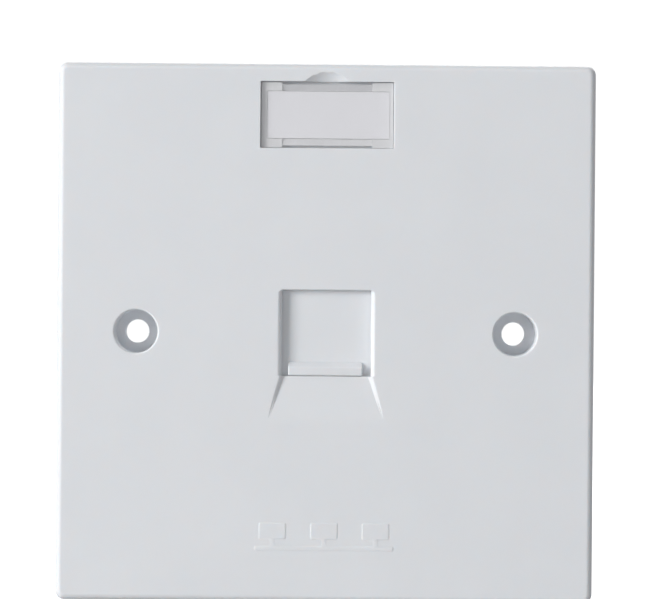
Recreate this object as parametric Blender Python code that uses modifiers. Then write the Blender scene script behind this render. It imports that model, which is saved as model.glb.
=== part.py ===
"""A one-gang network wall plate: a square face plate with one RJ45 port behind a sprung dust shutter, a clear
label window with its card, and a keystone jack that clips into a carrier on the plate's back.

Frame: metres, +Z up, the front faces -Y, and the origin is the plate's centre on the wall plane (y = 0).
"""

from math import cos, pi, radians, sin

import bmesh
import bpy
from mathutils import Vector

MM = 0.001
GAP = 0.3 * MM  # clearance between neighbouring pieces
PAST = 1.0 * MM  # how far a cutter runs past the surface that it opens
ROOT = 0.5 * MM  # how far a joined feature is rooted in the wall it stands on

# Face plate
PLATE_SIDE = 86.0 * MM  # at the wall
PLATE_FRONT_SIDE = 85.4 * MM  # at the front, after the skirt's draft
PLATE_DEPTH = 9.0 * MM
PLATE_CORNER = 1.2 * MM
PLATE_EDGE = 1.0 * MM
FRONT_WALL = 2.0 * MM
SKIRT_WALL = 1.8 * MM
FRONT_Y = -PLATE_DEPTH
WALL_BACK_Y = FRONT_Y + FRONT_WALL
RIB_PLACE = 21.6 * MM
RIB_WIDTH = 1.0 * MM
RIB_HEIGHT = 1.6 * MM

# Fixing screws' recesses, on the standard 60.3 mm centres
FIXING_CENTRES = 60.3 * MM
RECESS_RADIUS = 3.45 * MM
RECESS_DEPTH = 5.6 * MM
FIXING_HOLE_RADIUS = 1.9 * MM
CUP_RADIUS = 5.2 * MM
CUP_BACK_Y = -1.4 * MM

# Port opening and the ramp below it
PORT_HALF = 7.9 * MM  # at the front face
PORT_TOP_Z = 7.6 * MM
PORT_BOTTOM_Z = -7.2 * MM
PORT_DRAFT = 0.75 * MM  # how far its sides and top close in over the bay's wall
RAMP_FOOT_Z = -13.8 * MM
RAMP_DEPTH = 1.0 * MM
RAMP_FOOT_HALF = 8.9 * MM
RAMP_SIDE_DRAFT = 0.6 * MM

# Label pocket, window and card
LABEL_Z = 34.65 * MM
POCKET_WIDTH = 21.4 * MM
POCKET_HEIGHT = 10.8 * MM
POCKET_DRAFT = 0.1 * MM
POCKET_DRAFT_DEPTH = 0.5 * MM
POCKET_FLOOR_Y = -7.2 * MM
POCKET_WALL = 1.4 * MM
WINDOW_FRONT_Y = -8.75 * MM
WINDOW_THICKNESS = 0.75 * MM
WINDOW_BAR_HALF = 7.2 * MM
WINDOW_BAR_HEIGHT = 0.9 * MM
WINDOW_BAR_INSET = 0.3 * MM
CARD_WIDTH = 20.0 * MM
CARD_HEIGHT = 7.2 * MM
CARD_THICKNESS = 0.3 * MM
NOTCH_RADIUS = 8.36 * MM
NOTCH_CENTRE_Y = FRONT_Y - 6.54 * MM
NOTCH_CENTRE_Z = 36.46 * MM

# Raised pictogram near the lower edge: three terminals on one line
PICTOGRAM_Z = -34.6 * MM
PICTOGRAM_HALF = 11.0 * MM
PICTOGRAM_LINE = 0.6 * MM
PICTOGRAM_STEM = 1.2 * MM
PICTOGRAM_BOX = (4.2 * MM, 2.6 * MM)
PICTOGRAM_PITCH = 8.2 * MM
RELIEF = 0.15 * MM

# Shutter, its guides and its springs
SHUTTER_HALF = 8.3 * MM
SHUTTER_BOTTOM_Z = -7.8 * MM
SHUTTER_TOP_Z = 8.6 * MM
BAY_WALL = 1.2 * MM  # what is left of the front wall in front of the shutter's bay
BAY_FRONT_Y = FRONT_Y + BAY_WALL
SHUTTER_FRONT_Y = BAY_FRONT_Y + GAP
SHUTTER_THICKNESS = 1.4 * MM
EAR_HALF = 11.3 * MM
EAR_TOP_Z = -4.5 * MM
BAY_BACK_Y = -3.6 * MM  # the carrier's front
RUNNER_WIDTH = 1.3 * MM
LIP_HALF = 5.9 * MM
LIP_TOP_Z = -4.4 * MM
LIP_BOTTOM_Z = -6.85 * MM
LIP_REACH = 1.1 * MM
RAIL_INNER = 11.7 * MM
RAIL_WIDTH = 1.2 * MM
RAIL_BOTTOM_Z = SHUTTER_BOTTOM_Z - GAP
RAIL_TOP_Z = 20.6 * MM
SPRING_X = 9.85 * MM
SPRING_Y = (SHUTTER_FRONT_Y + BAY_BACK_Y - GAP) / 2
SPRING_RADIUS = 1.2 * MM  # over the wire
SPRING_WIRE = 0.2 * MM
SPRING_TURNS = 14
SPRING_STOP_Z = 12.6 * MM
STOP_HEIGHT = 1.6 * MM
PEG_RADIUS = 0.55 * MM
PEG_LENGTH = 1.4 * MM

# Carrier that holds the jack, and its four screws
CARRIER_HALF = 18.4 * MM
CARRIER_BOTTOM_Z = -13.4 * MM
CARRIER_TOP_Z = 20.8 * MM
CARRIER_PLATE = 2.0 * MM
CARRIER_PLATE_BACK_Y = BAY_BACK_Y + CARRIER_PLATE
CARRIER_FRAME_BACK_Y = 5.0 * MM
CARRIER_FRAME_WALL = 1.4 * MM
CARRIER_FRAME_INNER_HEIGHT = 19.8 * MM
SCREW_X = 15.6 * MM
SCREW_PLACES = [(side * SCREW_X, z * MM) for z in (17.6, -10.4) for side in (-1, 1)]
BOSS_RADIUS = 2.4 * MM
BOSS_HOLE_RADIUS = 1.3 * MM
SCREW_RADIUS = 1.0 * MM
SCREW_HEAD_RADIUS = 2.1 * MM
SCREW_HEAD_HEIGHT = 1.2 * MM
SCREW_CROSS = (2.2 * MM, 0.5 * MM)
SCREW_CROSS_DEPTH = 0.7 * MM

# Keystone jack
JACK_HALF_WIDTH = 7.1 * MM
JACK_HALF_HEIGHT = 8.0 * MM
JACK_FRONT_Y = BAY_BACK_Y
JACK_BACK_Y = 11.0 * MM
SOCKET_WIDTH = 11.9 * MM
SOCKET_BOTTOM_Z = -4.6 * MM
SOCKET_TOP_Z = 2.2 * MM
SOCKET_BACK_Y = 9.0 * MM
LATCH_SLOT_HALF = 3.1 * MM
LATCH_SLOT_BOTTOM_Z = -6.2 * MM
CONTACT_BAY_HALF = 4.7 * MM
CONTACT_BAY_TOP_Z = 6.2 * MM
CONTACT_BAY_FRONT_Y = -1.9 * MM
HOOK_HALF = 3.4 * MM
HOOK_HEIGHT = 1.4 * MM
HOOK_LENGTH = 2.2 * MM
ARM_CLEARANCE = 0.6 * MM
ARM_THICKNESS = 0.9 * MM
ARM_BACK_Y = 9.0 * MM
ARM_ROOT_LENGTH = 1.5 * MM
CONTACTS = 8
CONTACT_PITCH = 1.02 * MM
CONTACT_WIRE = 0.46 * MM
CONTACT_TOP_Z = 5.2 * MM
CONTACT_BEND = 1.1 * MM
CONTACT_BEND_Y = -0.2 * MM
CONTACT_TURN = radians(152)
CONTACT_RUN = 6.0 * MM
BOARD_THICKNESS = 1.2 * MM
BOARD_FRONT_Y = JACK_BACK_Y + GAP

# Wire terminals behind the board
BLOCK_FRONT_Y = BOARD_FRONT_Y + BOARD_THICKNESS + GAP
BLOCK_BASE_BACK_Y = 16.0 * MM
TOWER_BACK_Y = 23.0 * MM
TOWER_INNER = 3.4 * MM
TERMINAL_X = 5.25 * MM
TERMINAL_PITCH = 4.0 * MM
TERMINALS_A_SIDE = 4
WIRE_SLOT_HALF = 0.5 * MM
WIRE_SLOT_FRONT_Y = 17.5 * MM
POCKET_HALF_X = 0.5 * MM
POCKET_HALF_Z = 1.7 * MM
BLADE_POCKET_FRONT_Y = 14.5 * MM
BLADE_HALF = 1.4 * MM
BLADE_THICKNESS = 0.4 * MM
BLADE_BACK_Y = 21.5 * MM
BLADE_FORK_HALF = 0.2 * MM
BLADE_FORK_FRONT_Y = 17.8 * MM
BLADE_TAIL_HALF = 0.3 * MM
CAP_WALL = 1.0 * MM
CAP_BACK_Y = 24.6 * MM
CAP_SLOT_HALF = 0.7 * MM
CAP_SLOT_BACK_Y = 19.6 * MM
CAP_TOOTH_HALF = 0.2 * MM
CAP_TOOTH_LENGTH = 3.6 * MM

# Facets
HOLE_SEGMENTS = 32
SMALL_SEGMENTS = 16
SPRING_STEPS = 10  # points a turn
WIRE_BEVEL_RESOLUTION = 2

COLOURS = {  # base colour, roughness, metallic
    "white_plastic": ((0.70, 0.71, 0.725), 0.42, 0.0),
    "clear_plastic": ((0.86, 0.86, 0.88), 0.12, 0.0),
    "label_card": ((0.66, 0.65, 0.68), 0.80, 0.0),
    "jack_plastic": ((0.72, 0.72, 0.72), 0.45, 0.0),
    "cap_plastic": ((0.62, 0.66, 0.70), 0.40, 0.0),
    "spring_steel": ((0.55, 0.55, 0.56), 0.30, 1.0),
    "zinc_steel": ((0.62, 0.63, 0.66), 0.35, 1.0),
    "gold_contact": ((0.83, 0.62, 0.28), 0.25, 1.0),
    "tin_blade": ((0.72, 0.72, 0.74), 0.35, 1.0),
    "green_board": ((0.03, 0.20, 0.09), 0.45, 0.0),
}


def clear_scene():
    for obj in list(bpy.data.objects):
        bpy.data.objects.remove(obj, do_unlink=True)


def new_collection(name):
    collection = bpy.data.collections.new(name)
    bpy.context.scene.collection.children.link(collection)
    return collection


def make_material(name):
    colour, roughness, metallic = COLOURS[name]
    material = bpy.data.materials.new(name)
    material.use_nodes = True
    shader = material.node_tree.nodes["Principled BSDF"]
    shader.inputs["Base Color"].default_value = (*colour, 1.0)
    shader.inputs["Roughness"].default_value = roughness
    shader.inputs["Metallic"].default_value = metallic
    material.diffuse_color = (*colour, 1.0)
    return material


clear_scene()
PARTS = new_collection("network_wall_plate")
TOOLS = new_collection("cutters")
MATERIALS = {name: make_material(name) for name in COLOURS}


# ---- shapes -------------------------------------------------------------------------------------


def mesh_of(bm, name):
    mesh = bpy.data.meshes.new(name)
    bm.to_mesh(mesh)
    bm.free()
    return mesh


def place(name, mesh, location=(0, 0, 0)):
    """A new object, in the cutters' collection until finish() makes it a part."""
    obj = bpy.data.objects.new(name, mesh)
    obj.location = location
    obj.hide_render = True
    obj.display_type = "WIRE"
    TOOLS.objects.link(obj)
    return obj


def finish(obj, material, smooth=False):
    """Makes a shape one of the object's parts."""
    TOOLS.objects.unlink(obj)
    PARTS.objects.link(obj)
    obj.hide_render = False
    obj.display_type = "TEXTURED"
    if not obj.data.materials:
        obj.data.materials.append(MATERIALS[material])
    if smooth:
        obj.data.shade_smooth()
        obj.data.set_sharp_from_angle(angle=radians(40))
    return obj


def block(name, low, high):
    """A box between two corners."""
    low, high = Vector(low), Vector(high)
    bm = bmesh.new()
    bmesh.ops.create_cube(bm, size=1.0)
    bmesh.ops.scale(bm, vec=high - low, verts=bm.verts)
    return place(name, mesh_of(bm, name), (low + high) / 2)


def shaped_block(name, corner):
    """A box whose eight corners, each named by the signs of x, y and z, go where corner() says."""
    bm = bmesh.new()
    bmesh.ops.create_cube(bm, size=2.0)
    for vert in bm.verts:
        vert.co = corner(*(round(c) for c in vert.co))
    bmesh.ops.recalc_face_normals(bm, faces=bm.faces)
    return place(name, mesh_of(bm, name))


def rod(name, start, end, radius, segments=HOLE_SEGMENTS):
    """A cylinder from start to end."""
    start, end = Vector(start), Vector(end)
    bm = bmesh.new()
    depth = (end - start).length
    bmesh.ops.create_cone(bm, cap_ends=True, segments=segments, radius1=radius, radius2=radius, depth=depth)
    obj = place(name, mesh_of(bm, name), (start + end) / 2)
    obj.rotation_mode = "QUATERNION"
    obj.rotation_quaternion = (end - start).to_track_quat("Z", "Y")
    return obj


def ball(name, centre, radius):
    bm = bmesh.new()
    bmesh.ops.create_uvsphere(bm, u_segments=HOLE_SEGMENTS, v_segments=HOLE_SEGMENTS // 2, radius=radius)
    return place(name, mesh_of(bm, name), centre)


def wire(name, points, thickness, resolution=WIRE_BEVEL_RESOLUTION):
    """A round wire along points, its ends closed, as a mesh."""
    curve = bpy.data.curves.new(name, "CURVE")
    curve.dimensions = "3D"
    curve.bevel_depth = thickness / 2
    curve.bevel_resolution = resolution
    curve.use_fill_caps = True
    spline = curve.splines.new("POLY")
    spline.points.add(len(points) - 1)
    for point, where in zip(spline.points, points):
        point.co = (*where, 1.0)
    return mesh_from_curve(name, curve)


def flat_outline(name, points, thickness):
    """A flat plate in the XY plane with the given outline, as a mesh."""
    curve = bpy.data.curves.new(name, "CURVE")
    curve.dimensions = "2D"
    curve.fill_mode = "BOTH"
    curve.extrude = thickness / 2
    spline = curve.splines.new("POLY")
    spline.points.add(len(points) - 1)
    for point, (x, y) in zip(spline.points, points):
        point.co = (x, y, 0.0, 1.0)
    spline.use_cyclic_u = True
    return mesh_from_curve(name, curve)


def mesh_from_curve(name, curve):
    guide = bpy.data.objects.new(name + "_guide", curve)
    TOOLS.objects.link(guide)
    bpy.context.view_layer.update()
    evaluated = guide.evaluated_get(bpy.context.evaluated_depsgraph_get())
    bm = bmesh.new()
    bm.from_mesh(bpy.data.meshes.new_from_object(evaluated))
    bmesh.ops.remove_doubles(bm, verts=bm.verts, dist=1e-6)
    bmesh.ops.recalc_face_normals(bm, faces=bm.faces)
    obj = place(name, mesh_of(bm, name))
    obj.matrix_world = guide.matrix_world.copy()
    bpy.data.objects.remove(guide, do_unlink=True)
    return obj


def boolean(obj, other, operation):
    modifier = obj.modifiers.new(other.name, "BOOLEAN")
    modifier.operation = operation
    modifier.solver = "EXACT"
    modifier.object = other


def cut(obj, *others):
    for other in others:
        boolean(obj, other, "DIFFERENCE")


def join(obj, *others):
    for other in others:
        boolean(obj, other, "UNION")


def round_edges(obj, width, segments=2):
    bevel = obj.modifiers.new("rounded_edges", "BEVEL")
    bevel.width = width
    bevel.segments = segments
    bevel.limit_method = "ANGLE"
    bevel.angle_limit = radians(40)


def mirrored(side, low, high):
    """The corners of a box given for the right-hand side, on the side whose sign is given."""
    (x0, y0, z0), (x1, y1, z1) = low, high
    xs = sorted((side * x0, side * x1))
    return (xs[0], y0, z0), (xs[1], y1, z1)


# ---- face plate ---------------------------------------------------------------------------------


def plate_slab():
    """The moulding's outside: a slab that narrows towards the front, with round corners and front edges."""
    back, front = PLATE_SIDE / 2, PLATE_FRONT_SIDE / 2

    def corner(sx, sy, sz):
        half = front if sy < 0 else back
        return Vector((sx * half, FRONT_Y if sy < 0 else 0.0, sz * half))

    slab = shaped_block("face_plate", corner)
    bm = bmesh.new()
    bm.from_mesh(slab.data)
    edges = [e for e in bm.edges if abs(e.verts[0].co.y - e.verts[1].co.y) > PLATE_DEPTH / 2]
    bmesh.ops.bevel(bm, geom=edges, offset=PLATE_CORNER, segments=4, affect="EDGES", profile=0.5)
    edges = [e for e in bm.edges if all(v.co.y < FRONT_Y + 1e-6 for v in e.verts)]
    bmesh.ops.bevel(bm, geom=edges, offset=PLATE_EDGE, segments=3, affect="EDGES", profile=0.5)
    bm.to_mesh(slab.data)
    bm.free()
    return slab


def port_cutter():
    """The way through to the shutter's bay: its sides and top close in towards the shutter."""
    front, back = FRONT_Y - PAST, BAY_FRONT_Y + PAST / 10

    def corner(sx, sy, sz):
        y = front if sy < 0 else back
        inwards = PORT_DRAFT * (y - FRONT_Y) / BAY_WALL
        z = PORT_TOP_Z - inwards if sz > 0 else PORT_BOTTOM_Z
        return Vector((sx * (PORT_HALF - inwards), y, z))

    return shaped_block("port_cut", corner)


def ramp_cutter():
    """The sloped finger way that runs from the port's foot out to the front face, between flared sides."""
    slope = RAMP_DEPTH / (PORT_BOTTOM_Z - RAMP_FOOT_Z)
    flare = (RAMP_FOOT_HALF - PORT_HALF) / (PORT_BOTTOM_Z - RAMP_FOOT_Z)
    draft = RAMP_SIDE_DRAFT / RAMP_DEPTH

    def corner(sx, sy, sz):
        z = PORT_BOTTOM_Z + PAST / 2 if sz > 0 else RAMP_FOOT_Z - 2 * PAST
        y = FRONT_Y - PAST if sy < 0 else FRONT_Y + slope * (z - RAMP_FOOT_Z)
        x = PORT_HALF - draft * (y - FRONT_Y) + flare * (PORT_BOTTOM_Z - z)
        return Vector((sx * x, y, z))

    return shaped_block("ramp_cut", corner)


def label_pocket_cutters():
    """The label's recess, drafted at its mouth, its pocket, and the fingernail notch above it."""
    half_x, half_z = POCKET_WIDTH / 2, POCKET_HEIGHT / 2

    def corner(sx, sy, sz):
        y = FRONT_Y - PAST if sy < 0 else FRONT_Y + POCKET_DRAFT_DEPTH
        inwards = POCKET_DRAFT * (y - FRONT_Y) / POCKET_DRAFT_DEPTH
        return Vector((sx * (half_x - inwards), y, LABEL_Z + sz * (half_z - inwards)))

    mouth = shaped_block("label_mouth_cut", corner)
    x, z = half_x - POCKET_DRAFT, half_z - POCKET_DRAFT
    pocket_low = (-x, FRONT_Y + POCKET_DRAFT_DEPTH / 2, LABEL_Z - z)
    pocket = block("label_pocket_cut", pocket_low, (x, POCKET_FLOOR_Y, LABEL_Z + z))
    notch = ball("fingernail_notch_cut", (0, NOTCH_CENTRE_Y, NOTCH_CENTRE_Z), NOTCH_RADIUS)
    return mouth, pocket, notch


def add_back_features(plate):
    """What stands on the back of the front wall."""
    root_y = WALL_BACK_Y - ROOT
    x = POCKET_WIDTH / 2 + POCKET_WALL
    z = POCKET_HEIGHT / 2 + POCKET_WALL
    box_back_y = POCKET_FLOOR_Y + POCKET_WALL
    join(plate, block("label_box", (-x, root_y, LABEL_Z - z), (x, box_back_y, LABEL_Z + z)))
    rib_end = PLATE_SIDE / 2 - SKIRT_WALL + ROOT
    rib_back = WALL_BACK_Y + RIB_HEIGHT
    for side in (-1, 1):
        centre = side * RIB_PLACE
        low, high = centre - RIB_WIDTH / 2, centre + RIB_WIDTH / 2
        join(plate, block(f"rib_upright_{side}", (low, root_y, -rib_end), (high, rib_back, rib_end)))
        level_low = (-rib_end, root_y, low + RIB_WIDTH)
        join(plate, block(f"rib_level_{side}", level_low, (rib_end, rib_back, high + RIB_WIDTH)))
    for side in (-1, 1):
        name = "left" if side < 0 else "right"
        rail_high = (RAIL_INNER + RAIL_WIDTH, BAY_BACK_Y - GAP, RAIL_TOP_Z)
        rail = mirrored(side, (RAIL_INNER, root_y, RAIL_BOTTOM_Z), rail_high)
        join(plate, block(f"rail_{name}", *rail))
        stop = mirrored(
            side,
            (SHUTTER_HALF + GAP, BAY_FRONT_Y - ROOT, SPRING_STOP_Z),
            (RAIL_INNER + ROOT, BAY_BACK_Y - GAP, SPRING_STOP_Z + STOP_HEIGHT),
        )
        join(plate, block(f"spring_stop_{name}", *stop))
        peg_foot = (side * SPRING_X, SPRING_Y, SPRING_STOP_Z + ROOT)
        peg_tip = (side * SPRING_X, SPRING_Y, SPRING_STOP_Z - PEG_LENGTH)
        join(plate, rod(f"stop_peg_{name}", peg_foot, peg_tip, PEG_RADIUS, SMALL_SEGMENTS))
        centre = side * FIXING_CENTRES / 2
        join(plate, rod(f"screw_cup_{name}", (centre, root_y, 0), (centre, CUP_BACK_Y, 0), CUP_RADIUS))
    for number, (x, z) in enumerate(SCREW_PLACES, 1):
        boss_end = (x, BAY_BACK_Y - GAP, z)
        join(plate, rod(f"boss_{number}", (x, root_y, z), boss_end, BOSS_RADIUS, SMALL_SEGMENTS))


def cut_screw_holes(plate):
    for side in (-1, 1):
        name = "left" if side < 0 else "right"
        x = side * FIXING_CENTRES / 2
        mouth = (x, FRONT_Y - PAST, 0)
        recess = rod(f"recess_cut_{name}", mouth, (x, FRONT_Y + RECESS_DEPTH, 0), RECESS_RADIUS)
        hole = rod(f"fixing_hole_cut_{name}", mouth, (x, PAST, 0), FIXING_HOLE_RADIUS)
        cut(plate, recess, hole)
    for number, (x, z) in enumerate(SCREW_PLACES, 1):
        start, end = (x, WALL_BACK_Y, z), (x, PAST, z)
        cut(plate, rod(f"boss_hole_cut_{number}", start, end, BOSS_HOLE_RADIUS, SMALL_SEGMENTS))


def add_pictogram(plate):
    """A low relief near the lower edge: three terminals on stems above one line."""
    front, root = FRONT_Y - RELIEF, FRONT_Y + ROOT
    line_top = PICTOGRAM_Z + PICTOGRAM_LINE
    line_low = (-PICTOGRAM_HALF, front, PICTOGRAM_Z)
    join(plate, block("pictogram_line", line_low, (PICTOGRAM_HALF, root, line_top)))
    width, height = PICTOGRAM_BOX
    box_foot = line_top + PICTOGRAM_STEM
    for number in (-1, 0, 1):
        x = number * PICTOGRAM_PITCH
        stem_low = (x - PICTOGRAM_LINE / 2, front, line_top - PICTOGRAM_LINE / 2)
        stem_high = (x + PICTOGRAM_LINE / 2, root, box_foot + PICTOGRAM_LINE / 2)
        join(plate, block(f"pictogram_stem_{number}", stem_low, stem_high))
        terminal = (x - width / 2, front, box_foot), (x + width / 2, root, box_foot + height)
        join(plate, block(f"pictogram_terminal_{number}", *terminal))


def make_face_plate():
    plate = plate_slab()
    inner = PLATE_SIDE / 2 - SKIRT_WALL
    cut(plate, block("back_hollow_cut", (-inner, WALL_BACK_Y, -inner), (inner, PAST, inner)))
    bay_low = (-RAIL_INNER, BAY_FRONT_Y, RAIL_BOTTOM_Z)
    cut(plate, block("shutter_bay_cut", bay_low, (RAIL_INNER, WALL_BACK_Y + PAST, RAIL_TOP_Z)))
    add_back_features(plate)
    cut_screw_holes(plate)
    cut(plate, *label_pocket_cutters())
    cut(plate, port_cutter(), ramp_cutter())
    add_pictogram(plate)
    finish(plate, "white_plastic")


# ---- label --------------------------------------------------------------------------------------


def make_label():
    """The clear window, with a bar along the back of its upper and lower edges, and the card between."""
    half_x = POCKET_WIDTH / 2 - POCKET_DRAFT - GAP
    half_z = POCKET_HEIGHT / 2 - POCKET_DRAFT - GAP
    back = WINDOW_FRONT_Y + WINDOW_THICKNESS
    window_low = (-half_x, WINDOW_FRONT_Y, LABEL_Z - half_z)
    window = block("label_window", window_low, (half_x, back, LABEL_Z + half_z))
    for side, name in ((1, "upper"), (-1, "lower")):
        outer = half_z - WINDOW_BAR_INSET
        zs = sorted((LABEL_Z + side * outer, LABEL_Z + side * (outer - WINDOW_BAR_HEIGHT)))
        low = (-WINDOW_BAR_HALF, back - ROOT, zs[0])
        high = (WINDOW_BAR_HALF, POCKET_FLOOR_Y - GAP, zs[1])
        join(window, block(f"window_bar_{name}", low, high))
    finish(window, "clear_plastic")
    x, z = CARD_WIDTH / 2, CARD_HEIGHT / 2 - GAP
    front = POCKET_FLOOR_Y - GAP - CARD_THICKNESS
    card = block("label_card", (-x, front, LABEL_Z - z), (x, front + CARD_THICKNESS, LABEL_Z + z))
    finish(card, "label_card")


# ---- shutter ------------------------------------------------------------------------------------


def shutter_lip():
    """The finger lip: a ledge along the shutter's foot, rounded off more below than above."""
    height = LIP_TOP_Z - LIP_BOTTOM_Z
    profile = [  # how far out from the shutter, and how far down the lip
        (-ROOT, 0.0),
        (0.75 * LIP_REACH, 0.0),
        (LIP_REACH, 0.15 * height),
        (LIP_REACH, 0.45 * height),
        (0.9 * LIP_REACH, 0.8 * height),
        (0.7 * LIP_REACH, height),
        (-ROOT, height),
    ]
    outline = [(SHUTTER_FRONT_Y - out, LIP_TOP_Z - down) for out, down in profile]
    lip = flat_outline("shutter_lip", outline, 2 * LIP_HALF)
    lip.rotation_euler = (pi / 2, 0, pi / 2)
    return lip


def make_shutter():
    """The dust shutter, which slides up behind the port against its two springs."""
    front, back = SHUTTER_FRONT_Y, SHUTTER_FRONT_Y + SHUTTER_THICKNESS
    shutter = block("shutter", (-SHUTTER_HALF, front, SHUTTER_BOTTOM_Z), (SHUTTER_HALF, back, SHUTTER_TOP_Z))
    ear_back = BAY_BACK_Y - GAP
    for side, name in ((-1, "left"), (1, "right")):
        ear = mirrored(side, (SHUTTER_HALF - ROOT, front, SHUTTER_BOTTOM_Z), (EAR_HALF, ear_back, EAR_TOP_Z))
        join(shutter, block(f"shutter_ear_{name}", *ear))
        runner_low = (SHUTTER_HALF - RUNNER_WIDTH, back - ROOT, SHUTTER_BOTTOM_Z)
        runner = mirrored(side, runner_low, (SHUTTER_HALF, ear_back, SHUTTER_TOP_Z))
        join(shutter, block(f"shutter_runner_{name}", *runner))
        foot = (side * SPRING_X, SPRING_Y, EAR_TOP_Z - ROOT)
        tip = (side * SPRING_X, SPRING_Y, EAR_TOP_Z + PEG_LENGTH)
        join(shutter, rod(f"ear_peg_{name}", foot, tip, PEG_RADIUS, SMALL_SEGMENTS))
    join(shutter, shutter_lip())
    finish(shutter, "white_plastic")


def spring_points(x):
    """The wire's centre line, from the shutter's ear up to the stop, with a closed turn at each end."""
    low = EAR_TOP_Z + GAP + SPRING_WIRE / 2
    high = SPRING_STOP_Z - GAP - SPRING_WIRE / 2
    radius = SPRING_RADIUS - SPRING_WIRE / 2
    closed = 1.15 * SPRING_WIRE  # the rise of an end turn
    pitch = (high - low - 2 * closed) / (SPRING_TURNS - 2)
    points = []
    for step in range(SPRING_TURNS * SPRING_STEPS + 1):
        turn = step / SPRING_STEPS
        open_turns = min(max(turn - 1, 0), SPRING_TURNS - 2)
        end_turns = turn - open_turns
        angle = 2 * pi * turn
        z = low + open_turns * pitch + end_turns * closed
        points.append((x + radius * cos(angle), SPRING_Y + radius * sin(angle), z))
    return points


def make_springs():
    for side, name in ((-1, "left"), (1, "right")):
        spring = wire(f"shutter_spring_{name}", spring_points(side * SPRING_X), SPRING_WIRE, 1)
        finish(spring, "spring_steel", smooth=True)


# ---- carrier and its screws ---------------------------------------------------------------------


def make_carrier():
    """The plate that closes the shutter's bay from behind, with a frame that the jack clips into."""
    low = (-CARRIER_HALF, BAY_BACK_Y, CARRIER_BOTTOM_Z)
    carrier = block("jack_carrier", low, (CARRIER_HALF, CARRIER_PLATE_BACK_Y, CARRIER_TOP_Z))
    round_edges(carrier, 0.5 * MM)
    inner_x = JACK_HALF_WIDTH + GAP
    inner_z = CARRIER_FRAME_INNER_HEIGHT / 2
    x, z = inner_x + CARRIER_FRAME_WALL, inner_z + CARRIER_FRAME_WALL
    root_y = CARRIER_PLATE_BACK_Y - ROOT
    join(carrier, block("carrier_frame", (-x, root_y, -z), (x, CARRIER_FRAME_BACK_Y, z)))
    past_back = CARRIER_FRAME_BACK_Y + PAST
    inside_low = (-inner_x, CARRIER_PLATE_BACK_Y, -inner_z)
    cut(carrier, block("frame_inside_cut", inside_low, (inner_x, past_back, inner_z)))
    aperture_z = JACK_HALF_HEIGHT + GAP
    aperture_low = (-inner_x, BAY_BACK_Y - PAST, -aperture_z)
    cut(carrier, block("aperture_cut", aperture_low, (inner_x, CARRIER_PLATE_BACK_Y + PAST, aperture_z)))
    for number, (sx, sz) in enumerate(SCREW_PLACES, 1):
        start, end = (sx, BAY_BACK_Y - PAST, sz), (sx, PAST, sz)
        cut(carrier, rod(f"carrier_hole_cut_{number}", start, end, BOSS_HOLE_RADIUS, SMALL_SEGMENTS))
    finish(carrier, "white_plastic")


def make_carrier_screw(number, x, z):
    """A pan-head self-tapping screw with a cross recess, its point towards the front."""
    seat = CARRIER_PLATE_BACK_Y + GAP
    top = seat + SCREW_HEAD_HEIGHT
    name = f"carrier_screw_{number}"
    screw = rod(name, (x, seat, z), (x, top, z), SCREW_HEAD_RADIUS, SMALL_SEGMENTS)
    round_edges(screw, 0.3 * MM)
    shank_start = (x, seat + ROOT, z)
    shank_tip = (x, WALL_BACK_Y + 2 * GAP, z)
    join(screw, rod(f"{name}_shank", shank_start, shank_tip, SCREW_RADIUS, SMALL_SEGMENTS))
    length, width = SCREW_CROSS
    for turn, (half_x, half_z) in enumerate(((length / 2, width / 2), (width / 2, length / 2))):
        low = (x - half_x, top - SCREW_CROSS_DEPTH, z - half_z)
        cut(screw, block(f"{name}_cross_{turn}", low, (x + half_x, top + PAST, z + half_z)))
    finish(screw, "zinc_steel")


# ---- jack ---------------------------------------------------------------------------------------


def make_jack_housing():
    """The socket's housing: the plug's way in, the latch's slot below it and the contacts' bay above it."""
    x, z = JACK_HALF_WIDTH, JACK_HALF_HEIGHT
    housing = block("jack_housing", (-x, JACK_FRONT_Y, -z), (x, JACK_BACK_Y, z))
    hook_y = CARRIER_PLATE_BACK_Y + GAP
    lower_hook = (-HOOK_HALF, hook_y, -z - HOOK_HEIGHT), (HOOK_HALF, hook_y + HOOK_LENGTH, -z + ROOT)
    join(housing, block("lower_hook", *lower_hook))
    arm_z = z + ARM_CLEARANCE
    arm_root_low = (-HOOK_HALF, ARM_BACK_Y - ARM_ROOT_LENGTH, z - ROOT)
    join(housing, block("latch_root", arm_root_low, (HOOK_HALF, ARM_BACK_Y, arm_z + ROOT)))
    arm_high = (HOOK_HALF, ARM_BACK_Y, arm_z + ARM_THICKNESS)
    join(housing, block("latch_arm", (-HOOK_HALF, hook_y, arm_z), arm_high))
    half = SOCKET_WIDTH / 2
    mouth_y = JACK_FRONT_Y - PAST
    cut(housing, block("socket_cut", (-half, mouth_y, SOCKET_BOTTOM_Z), (half, SOCKET_BACK_Y, SOCKET_TOP_Z)))
    slot_high = (LATCH_SLOT_HALF, SOCKET_BACK_Y - PAST, SOCKET_BOTTOM_Z + PAST)
    cut(housing, block("latch_slot_cut", (-LATCH_SLOT_HALF, mouth_y, LATCH_SLOT_BOTTOM_Z), slot_high))
    bay_low = (-CONTACT_BAY_HALF, CONTACT_BAY_FRONT_Y, SOCKET_TOP_Z - PAST)
    bay_high = (CONTACT_BAY_HALF, JACK_BACK_Y + PAST, CONTACT_BAY_TOP_Z)
    cut(housing, block("contact_bay_cut", bay_low, bay_high))
    finish(housing, "jack_plastic")


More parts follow.
